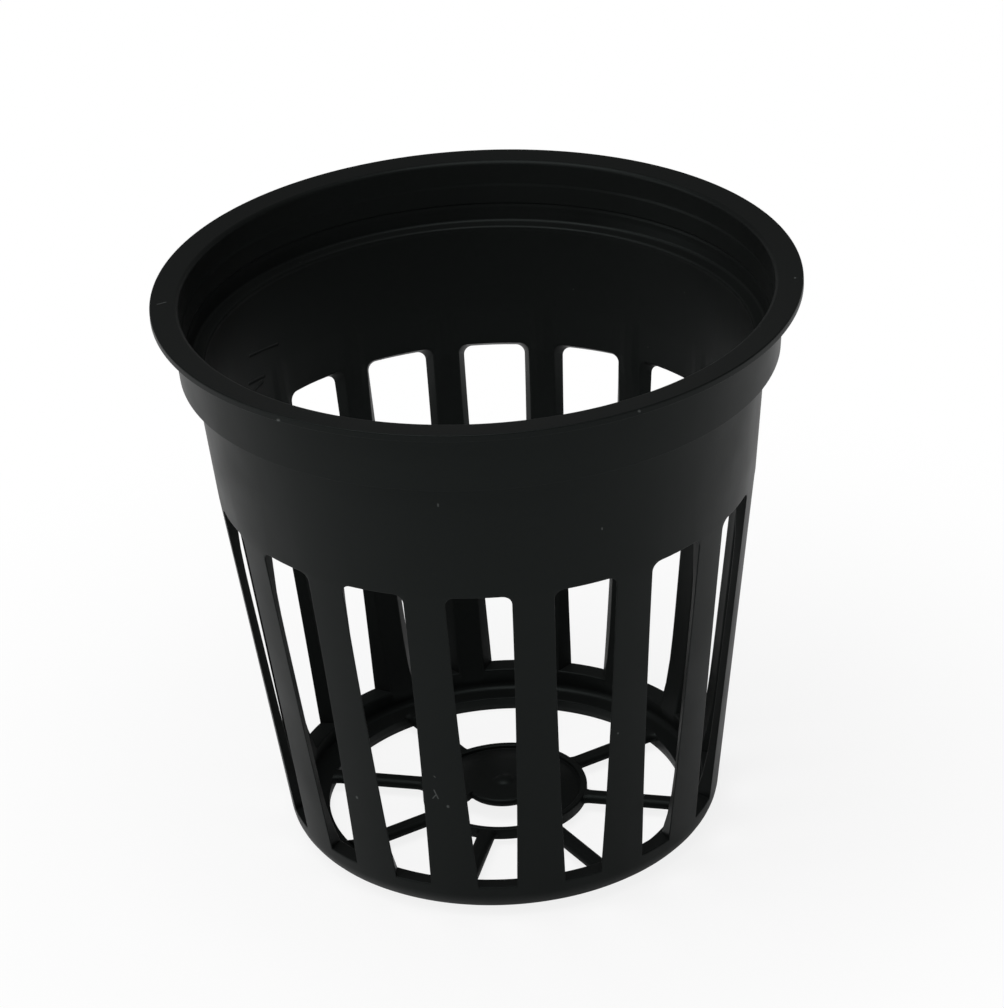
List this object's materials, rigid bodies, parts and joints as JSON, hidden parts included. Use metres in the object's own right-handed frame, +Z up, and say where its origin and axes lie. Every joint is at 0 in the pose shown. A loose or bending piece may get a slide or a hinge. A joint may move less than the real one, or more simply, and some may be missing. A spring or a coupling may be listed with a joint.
{
  "type": "net pot",
  "caption": "Slotted black plastic growing cup with a flanged rim, a stepped collar, tall wall slots and a spoked open base.",
  "frame": {"origin": "middle of the foot ring's underside, on the pot's axis", "axes": "+Z up along the pot's axis to the rim; -Y is the front, where one rib, one spoke and the hub's window lie"},
  "size_m": [0.0848, 0.0848, 0.0793],
  "materials": {
    "black_plastic": "satin"
  },
  "bodies": {
    "root": {"rim_flange": "black_plastic", "collar": "black_plastic", "wall_band": "black_plastic", "rib_01": "black_plastic", "rib_02": "black_plastic", "rib_03": "black_plastic", "rib_04": "black_plastic", "rib_05": "black_plastic", "rib_06": "black_plastic", "rib_07": "black_plastic", "rib_08": "black_plastic", "rib_09": "black_plastic", "rib_10": "black_plastic", "rib_11": "black_plastic", "rib_12": "black_plastic", "rib_13": "black_plastic", "rib_14": "black_plastic", "rib_15": "black_plastic", "rib_16": "black_plastic", "base_ring": "black_plastic", "spoke_1": "black_plastic", "spoke_2": "black_plastic", "spoke_3": "black_plastic", "spoke_4": "black_plastic", "spoke_5": "black_plastic", "spoke_6": "black_plastic", "spoke_7": "black_plastic", "spoke_8": "black_plastic", "hub": "black_plastic"}
  },
  "joints": []
}
